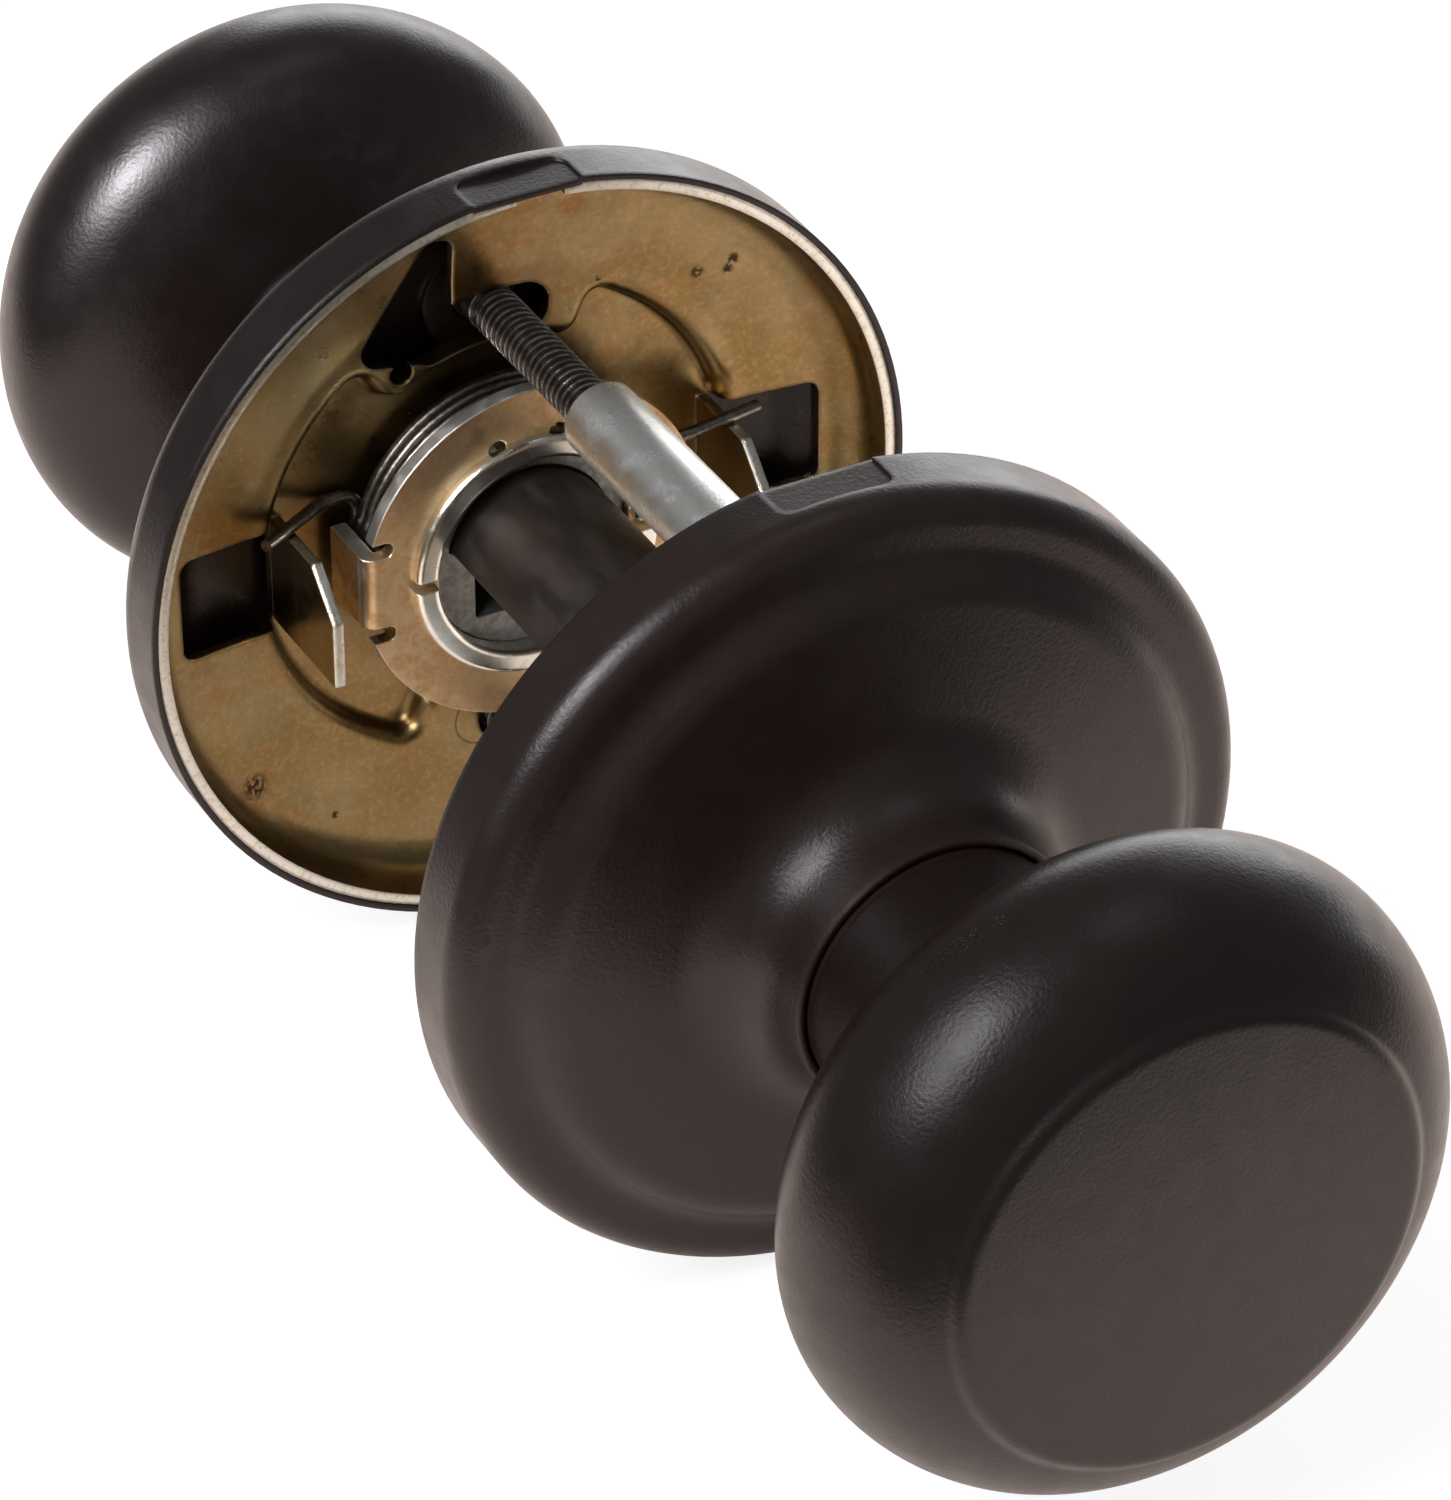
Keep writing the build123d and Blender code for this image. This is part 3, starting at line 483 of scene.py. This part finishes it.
def screw_oxide(tree):
    """Shiny black oxide of the machine screws; the thread crests are light steel, partly rubbed bare and
    partly a painted highlight.
    """
    parts = place_parts(tree)
    off_bolt = math_node(tree, "SUBTRACT", math_node(tree, "ABSOLUTE", parts["Z"]), BOLT_OFFSET)
    reach = hypotenuse(tree, parts["X"], off_bolt)
    crest = both(tree, spread(tree, reach, CREST_START, CREST_FULL), below(tree, reach, CREST_LIMIT))
    worn = spread(tree, noise(tree, 0.9, 4, 0.6), 0.36, 0.60, 0.35, 1.0)
    # Light steel on the crests: partly rubbed wear, partly a painted highlight of the crests.
    colour = blend_rgb(tree, both(tree, crest, worn), SCREW_BLACK, CREST_STEEL_AND_HIGHLIGHT)
    return colour, scaled(tree, crest, 0.9), 0.27, bump(tree, noise(tree, 0.3, 3, 0.6), 0.002)


def spring_steel(tree):
    """Drawn wire, grey-brown with fine lines."""
    line = spread(tree, noise(tree, 0.5, 4, 0.6), 0.35, 0.65)
    return blend_rgb(tree, line, *WIRE_TONES), 1.0, 0.30, bump(tree, line, 0.008)


# Each finish and the last words of the node names that wear it
FINISHES = (
    ("bronze_coat", bronze_coat, ("knob", "rose")),
    ("liner_zinc", liner_zinc, ("liner",)),
    ("driver_zinc", driver_zinc, ("driver",)),
    ("bright_zinc", bright_zinc, ("shank", "pin")),
    ("post_zinc", post_zinc, ("post",)),
    ("cast_zinc", cast_zinc, ("socket",)),
    ("black_oxide", black_oxide, ("spindle",)),
    ("spring_steel", spring_steel, ("spring",)),
)

for title, looks, ends in FINISHES:
    finish = surface(title, looks)
    for name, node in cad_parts.items():
        if name.split("_")[-1] in ends:
            node.data.materials.clear()
            node.data.materials.append(finish)


# Mesh helpers
SMOOTH_LIMIT = math.radians(35)


def mesh_object(name, points, faces):
    mesh = bpy.data.meshes.new(name)
    mesh.from_pydata(points, [], faces)
    mesh.validate()
    made = bpy.data.objects.new(name, mesh)
    bpy.context.scene.collection.objects.link(made)
    return made


def outward(made):
    """Turns every face outward."""
    work = bmesh.new()
    work.from_mesh(made.data)
    bmesh.ops.recalc_face_normals(work, faces=work.faces)
    work.to_mesh(made.data)
    work.free()


def lathe(profile, steps, centre_z):
    """Points and faces of a closed turned solid: (radius, y) pairs in mm, first and last on the axis."""
    points = [(0, mm(profile[0][1]), mm(centre_z))]
    faces = []
    for radius, y in profile[1:-1]:
        for step in range(steps):
            angle = 2 * math.pi * step / steps
            points.append((mm(radius * math.cos(angle)), mm(y), mm(centre_z + radius * math.sin(angle))))
    points.append((0, mm(profile[-1][1]), mm(centre_z)))
    rows = len(profile) - 2
    last = len(points) - 1
    for step in range(steps):
        after = (step + 1) % steps
        faces.append((0, 1 + step, 1 + after))
        for row in range(rows - 1):
            base = 1 + row * steps
            faces.append((base + step, base + steps + step, base + steps + after, base + after))
        base = 1 + (rows - 1) * steps
        faces.append((base + step, last, base + after))
    return points, faces


def prism(name, outline, start, end, centre_z):
    """A solid between two y places over an outline of x and z round the centre, in mm."""
    points = [(mm(x), mm(y), mm(centre_z + z)) for y in (start, end) for x, z in outline]
    count = len(outline)
    faces = [tuple(range(count)), tuple(range(2 * count - 1, count - 1, -1))]
    for k in range(count):
        after = (k + 1) % count
        faces.append((k, count + k, count + after, after))
    made = mesh_object(name, points, faces)
    outward(made)
    return made


def cut(target, cutter):
    """Takes the cutter's volume out of the target and removes the cutter."""
    modifier = target.modifiers.new("cut", "BOOLEAN")
    modifier.operation = "DIFFERENCE"
    modifier.solver = "EXACT"
    modifier.object = cutter
    bpy.context.view_layer.update()
    graph = bpy.context.evaluated_depsgraph_get()
    mesh = bpy.data.meshes.new_from_object(target.evaluated_get(graph))
    target.modifiers.clear()
    target.data = mesh
    bpy.data.objects.remove(cutter)


def shade(made, material):
    """Gives a mesh its material and smooth shading between its sharper edges."""
    made.data.materials.clear()
    made.data.materials.append(material)
    made.data.shade_smooth()
    work = bmesh.new()
    work.from_mesh(made.data)
    for edge in work.edges:
        if len(edge.link_faces) == 2 and edge.calc_face_angle(0.0) > SMOOTH_LIMIT:
            edge.smooth = False
    work.to_mesh(made.data)
    work.free()


# Machine screws with their real thread
SCREW_RADIUS = 2.05
SCREW_CORE = 1.58
TIP_BEVEL_ACROSS = 0.4
TIP_BEVEL_ALONG = 0.5
THREAD_PITCH = 0.794
THREAD_STEPS = 24
THREAD_FROM_TIP = 0.8
ROOT_SHARE = 0.46
CREST_SHARE = 0.08
ROOT_SINK = 0.06
FADED_SINK = 0.04
PLAIN_NECK = 3.0
NECK_TAPER = 0.4
HEAD_RADIUS = 3.9
HEAD_HEIGHT = 2.4
CROWN_ROUND = 0.9
CROWN_STEPS = 6
SLOT_WIDTH = 1.1
SLOT_DEPTH = 1.1
SLOT_CLEAR = 1
LATHE_STEPS = 48


def thread_ridge(start, end, centre_z):
    """Points and faces of a closed ridge wound on the core, fading out at both ends."""
    turns = (end - start) / THREAD_PITCH
    count = int(turns * THREAD_STEPS)
    half_root = ROOT_SHARE * THREAD_PITCH
    half_crest = CREST_SHARE * THREAD_PITCH
    sunk = SCREW_CORE - ROOT_SINK
    points = []
    faces = []
    for step in range(count + 1):
        angle = 2 * math.pi * step / THREAD_STEPS
        fade = min(1.0, step / THREAD_STEPS, (count - step) / THREAD_STEPS)
        crest = SCREW_CORE - FADED_SINK + (SCREW_RADIUS - SCREW_CORE + FADED_SINK) * fade
        y = start + THREAD_PITCH * step / THREAD_STEPS
        section = ((sunk, -half_root), (crest, -half_crest), (crest, half_crest), (sunk, half_root))
        for radius, shift in section:
            across = radius * math.cos(angle)
            along = radius * math.sin(angle)
            points.append((mm(across), mm(y + shift), mm(centre_z + along)))
    for step in range(count):
        base = 4 * step
        for side in range(4):
            after = (side + 1) % 4
            faces.append((base + side, base + after, base + 4 + after, base + 4 + side))
    faces.append((3, 2, 1, 0))
    base = 4 * count
    faces.append((base, base + 1, base + 2, base + 3))
    return points, faces


def crown_profile(top):
    """The pan head's rounded crown."""
    rows = []
    for step in range(CROWN_STEPS + 1):
        angle = 0.5 * math.pi * step / CROWN_STEPS
        radius = HEAD_RADIUS - CROWN_ROUND + CROWN_ROUND * math.cos(angle)
        rows.append((radius, top - CROWN_ROUND + CROWN_ROUND * math.sin(angle)))
    return rows


def slot_cutter(top, centre_z, half_x, half_z):
    """A box that cuts one arm of the head's cross slot."""
    outline = ((-half_x, -half_z), (half_x, -half_z), (half_x, half_z), (-half_x, half_z))
    return prism("cutter", outline, top - SLOT_DEPTH, top + SLOT_CLEAR, centre_z)


def make_screw(place, sign, material):
    """A turned pan-head screw with its ridge of thread, in the place of the plain one."""
    node = place + "_screw"
    low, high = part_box(node)
    tip = low.y * MM_PER_METRE
    top = high.y * MM_PER_METRE
    seat = top - HEAD_HEIGHT
    neck = seat - PLAIN_NECK
    centre_z = sign * BOLT_OFFSET
    profile = [(0, tip), (SCREW_CORE - TIP_BEVEL_ACROSS, tip), (SCREW_CORE, tip + TIP_BEVEL_ALONG)]
    profile += [(SCREW_CORE, neck), (SCREW_RADIUS, neck + NECK_TAPER)]
    profile += [(SCREW_RADIUS, seat), (HEAD_RADIUS, seat)] + crown_profile(top) + [(0, top)]
    screw = mesh_object(place + "_machine_screw", *lathe(profile, LATHE_STEPS, centre_z))
    outward(screw)
    cut(screw, slot_cutter(top, centre_z, HEAD_RADIUS / 2, SLOT_WIDTH / 2))
    cut(screw, slot_cutter(top, centre_z, SLOT_WIDTH / 2, HEAD_RADIUS / 2))
    ridge = mesh_object("ridge", *thread_ridge(tip + THREAD_FROM_TIP, neck + NECK_TAPER, centre_z))
    outward(ridge)
    work = bmesh.new()
    work.from_mesh(screw.data)
    work.from_mesh(ridge.data)
    work.to_mesh(screw.data)
    work.free()
    bpy.data.objects.remove(ridge)
    shade(screw, material)
    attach(screw, "mounting")
    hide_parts(node)


# Web of sheet that brings the end of the rear liner's lower slot closer to the screw
WEB_FACE = 28.82
WEB_BACK = 29.60
WEB_LEFT = -5.3
WEB_RIGHT = -1.0
WEB_BITE = 2.6
WEB_HALF = 2.9
WEB_STEPS = 24


def make_web():
    """A plate whose right side is bitten away round the lower screw."""
    outline = [(WEB_RIGHT, WEB_HALF), (WEB_LEFT, WEB_HALF), (WEB_LEFT, -WEB_HALF), (WEB_RIGHT, -WEB_HALF)]
    first = math.acos(WEB_RIGHT / WEB_BITE)
    for step in range(WEB_STEPS + 1):
        angle = -first + (2 * first - 2 * math.pi) * step / WEB_STEPS
        outline.append((WEB_BITE * math.cos(angle), WEB_BITE * math.sin(angle)))
    web = prism("rear_liner_web", outline, WEB_FACE, WEB_BACK, -BOLT_OFFSET)
    shade(web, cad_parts["rear_liner"].data.materials[0])
    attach(web, "mounting")


make_web()


# Knobs spun on even rings, so that their long highlights run true
KNOB_WALL = 1.0
KNOB_STEPS = 160
NECK_RADIUS = 10.9
NECK_START = 12.2
NECK_RINGS = 50
NECK_RING_GAP = 0.4
KNOB_BACK = Vector((12.1, 33.2))
BACK_SHOULDER = Vector((22.6, 37.3))
WIDEST = Vector((26.05, 43.6))
FRONT_SHOULDER = Vector((24.35, 49.8))
CREASE = Vector((19.4, 54.0))
FACE_RIM = Vector((18.7, 54.9))
FACE_MIDDLE = Vector((0.0, 55.5))
CREASE_ROUND = 1.0
RIM_ROUND = 1.4
FLARE_STEPS = 8
BULGE_STEPS = 16
BACK_STEPS = 30
BROW_STEPS = 24
CREASE_STEPS = 8
FACE_STEPS = 60
CORNER_STEPS = 7


def tangent_arc(start, tangent, end, steps):
    """The arc that leaves start along tangent and reaches end, and its last direction."""
    normal = Vector((-tangent.y, tangent.x))
    across = end - start
    centre = start + normal * (across.length_squared / (2 * across.dot(normal)))
    turn = 2 * math.atan2(across.dot(normal), across.dot(tangent))
    points = []
    for step in range(1, steps + 1):
        points.append(centre + Matrix.Rotation(turn * step / steps, 2) @ (start - centre))
    return points, Matrix.Rotation(turn, 2) @ tangent


def rounded_corner(before, corner, after, radius):
    """Points of a corner between two nearly straight runs, rounded to the radius."""
    into = (corner - before[-1]).normalized()
    out_of = (after[0] - corner).normalized()
    reach = radius * math.tan(into.angle(out_of) / 2)
    while before and (corner - before[-1]).length < reach:
        before.pop()
    while after and (after[0] - corner).length < reach:
        after.pop(0)
    start = corner + reach * (before[-1] - corner).normalized()
    end = corner + reach * (after[0] - corner).normalized()
    for step in range(CORNER_STEPS + 1):
        t = step / CORNER_STEPS
        before.append((1 - t) ** 2 * start + 2 * t * (1 - t) * corner + t * t * end)
    return before + after


def knob_outline():
    """Radius and height of the shell's outside, from the neck's end to the middle of the face."""
    points = [Vector((NECK_RADIUS, NECK_START + NECK_RING_GAP * k)) for k in range(NECK_RINGS)]
    tube_end = Vector((NECK_RADIUS, KNOB_BACK.y - KNOB_BACK.x + NECK_RADIUS))
    points.append(tube_end)
    points += tangent_arc(tube_end, Vector((0, 1)), KNOB_BACK, FLARE_STEPS)[0]
    bulge, heading = tangent_arc(WIDEST, Vector((0, -1)), BACK_SHOULDER, BULGE_STEPS)
    back = tangent_arc(BACK_SHOULDER, heading, KNOB_BACK, BACK_STEPS)[0]
    points += back[-2::-1] + bulge[::-1] + [WIDEST]
    bulge, heading = tangent_arc(WIDEST, Vector((0, 1)), FRONT_SHOULDER, BULGE_STEPS)
    brow = tangent_arc(FRONT_SHOULDER, heading, CREASE, BROW_STEPS)[0]
    points += bulge + brow[:-1]
    rise = [CREASE.lerp(FACE_RIM, k / CREASE_STEPS) for k in range(1, CREASE_STEPS)]
    points = rounded_corner(points, CREASE, rise, CREASE_ROUND)
    face = tangent_arc(FACE_MIDDLE, Vector((1, 0)), FACE_RIM, FACE_STEPS)[0]
    return rounded_corner(points, FACE_RIM, face[-2::-1], RIM_ROUND) + [FACE_MIDDLE]


def inner_outline(outer):
    """The outline moved inwards by the wall."""
    points = []
    for index, place in enumerate(outer):
        before = outer[max(index - 1, 0)]
        after = outer[min(index + 1, len(outer) - 1)]
        along = (after - before).normalized()
        points.append(place + KNOB_WALL * Vector((-along.y, along.x)))
    points[-1] = Vector((0, outer[-1].y - KNOB_WALL))
    return points


def make_knob(half, side):
    """A hollow knob with its neck, spun as one shell."""
    node = half + "_knob"
    outer = knob_outline()
    inner = inner_outline(outer)
    profile = [(p.x, side * (HALF_GAP + p.y)) for p in inner[::-1] + outer]
    knob = mesh_object(half + "_spun_knob", *lathe(profile, KNOB_STEPS, 0.0))
    outward(knob)
    shade(knob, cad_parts[node].data.materials[0])
    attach(knob, node)
    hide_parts(node)


for half, side in (("front", -1), ("rear", 1)):
    make_knob(half, side)

screw_finish = surface("screw_oxide", screw_oxide)
for place, sign in (("upper", 1), ("lower", -1)):
    make_screw(place, sign, screw_finish)


# Stage, in metres except for the drop to the floor
FLOOR_DROP = 33.4
FLOOR_LEFT = -0.10
FLOOR_RIGHT = 0.12
FLOOR_NEAR = -0.12
FLOOR_FAR = 1.6
FLOOR_SPREAD_LEFT = 0.45
FLOOR_SPREAD_RIGHT = 1.5
FLOOR_TONES = ((0.49, 0.49, 0.49), (0.50, 0.50, 0.50))
FLOOR_GLOW = 0.85
FLOOR_MIRRORED = 1.2
MIRRORED_WARM = (1.0, 0.81, 0.72)
MIRRORED_PALE = (1.0, 0.97, 0.95)
WARM_REACH = 0.12
PALE_REACH = 0.7
CONTACT_SAMPLES = 4
CONTACT_REACH = 0.045
CONTACT_POWER = 0.8
WORLD_LIGHT = 0.16
WORLD_SEEN = 0.84


def floor_material():
    """Pale floor: white to the camera; in reflections a glow, warm near the set as a painted reflection
    and pale farther off, darkened near the set as a painted contact shadow; it still takes a shadow.
    """
    material, tree, out = bare_material("floor")
    diffuse = tree.nodes.new("ShaderNodeBsdfDiffuse")
    tone = spread(tree, noise(tree, 60, 3), 0.3, 0.7)
    put(tree, diffuse.inputs["Color"], blend_rgb(tree, tone, *FLOOR_TONES))
    glow = tree.nodes.new("ShaderNodeEmission")
    path = tree.nodes.new("ShaderNodeLightPath")
    mirrored = either(tree, path.outputs["Is Glossy Ray"], path.outputs["Is Transmission Ray"])
    away = vector_node(tree, "LENGTH", place_of(tree)).outputs["Value"]
    # Painted reflection: the glow seen in reflections is tinted warm near the set.
    warm = blend_rgb(tree, spread(tree, away, WARM_REACH, PALE_REACH), MIRRORED_WARM, MIRRORED_PALE)
    put(tree, glow.inputs["Color"], blend_rgb(tree, mirrored, WHITE, warm))
    seen = scaled(tree, path.outputs["Is Camera Ray"], FLOOR_GLOW)
    # Painted contact shadow: ambient occlusion darkens the glow seen in reflections near the set.
    open_to_light = tree.nodes.new("ShaderNodeAmbientOcclusion")
    open_to_light.samples = CONTACT_SAMPLES
    open_to_light.inputs["Distance"].default_value = CONTACT_REACH
    lit = math_node(tree, "POWER", open_to_light.outputs["AO"], CONTACT_POWER)
    shown = both(tree, mirrored, lit, FLOOR_MIRRORED)
    put(tree, glow.inputs["Strength"], math_node(tree, "ADD", seen, shown))
    total = tree.nodes.new("ShaderNodeAddShader")
    tree.links.new(diffuse.outputs[0], total.inputs[0])
    tree.links.new(glow.outputs[0], total.inputs[1])
    tree.links.new(total.outputs[0], out.inputs["Surface"])
    return material


def make_floor():
    """A sheet of floor that runs away from the camera under the set."""
    across = Vector((view_right.x, view_right.y, 0)).normalized()
    along = Vector((-across.y, across.x, 0))
    corners = (
        (FLOOR_LEFT, FLOOR_NEAR),
        (FLOOR_RIGHT, FLOOR_NEAR),
        (FLOOR_RIGHT + FLOOR_SPREAD_RIGHT, FLOOR_FAR),
        (FLOOR_LEFT - FLOOR_SPREAD_LEFT, FLOOR_FAR),
    )
    points = []
    for side, reach in corners:
        place = side * across + reach * along
        points.append((place.x, place.y, -mm(FLOOR_DROP)))
    floor = mesh_object("floor", points, [(0, 1, 2, 3)])
    floor.data.materials.append(floor_material())


make_floor()


def make_world():
    """A plain world, white to the camera and dim as a light."""
    world = bpy.data.worlds.new("studio")
    bpy.context.scene.world = world
    world.use_nodes = True
    tree = world.node_tree
    tree.nodes.clear()
    out = tree.nodes.new("ShaderNodeOutputWorld")
    background = tree.nodes.new("ShaderNodeBackground")
    path = tree.nodes.new("ShaderNodeLightPath")
    background.inputs["Color"].default_value = (*WHITE, 1.0)
    seen = scaled(tree, path.outputs["Is Camera Ray"], WORLD_SEEN)
    put(tree, background.inputs["Strength"], math_node(tree, "ADD", seen, WORLD_LIGHT))
    tree.links.new(background.outputs[0], out.inputs["Surface"])


make_world()


# Lamps: places and sizes in metres along the camera's axes, then the glow
MIDDLE = Vector((0, 0, 0))
OPEN_BEAM = 180
GRID_BEAM = 32
KEY_COLOUR = (0.98, 0.95, 1.0)
GRID_COLOUR = (0.97, 0.95, 1.0)


def from_view(right, up, toward):
    """A place in metres along the camera's own axes from the middle of the set."""
    return right * view_right + up * view_up - toward * view_forward


def softbox(name, offset, width, height, glow, colour=WHITE, aim=MIDDLE, beam=OPEN_BEAM):
    """An area lamp aimed at a place, its beam narrowed by a grid where beam is under 180 degrees."""
    place = from_view(*offset)
    data = bpy.data.lights.new(name, "AREA")
    data.shape = "RECTANGLE"
    data.size = width
    data.size_y = height
    data.energy = glow * math.pi * width * height
    data.color = colour
    data.spread = math.radians(beam)
    lamp = bpy.data.objects.new(name, data)
    bpy.context.scene.collection.objects.link(lamp)
    lamp.location = place
    lamp.rotation_euler = (place - aim).to_track_quat("Z", "Y").to_euler()
    return lamp


softbox("key_box", (-0.165, 0.090, 0.34), 0.15, 0.21, 7.0, KEY_COLOUR)
rear_shoulder = Vector((0, mm(HALF_GAP) + mm(WIDEST.y), 0)) + from_view(-0.015, 0.015, 0)
grid_place = (-0.175, 0.117, 0.140)
grid_box = softbox("grid_box", grid_place, 0.17, 0.17, 2.0, GRID_COLOUR, rear_shoulder, GRID_BEAM)
grid_box.visible_diffuse = False
softbox("back_box", (0.26, 0.94, -0.86), 1.1, 0.6, 3.4)
softbox("right_box", (0.84, 0.26, -0.79), 0.5, 0.6, 3.7)
softbox("front_box", (0.35, 1.19, 0.63), 0.5, 0.5, 0.6)

bpy.context.scene.view_settings.view_transform = "Standard"
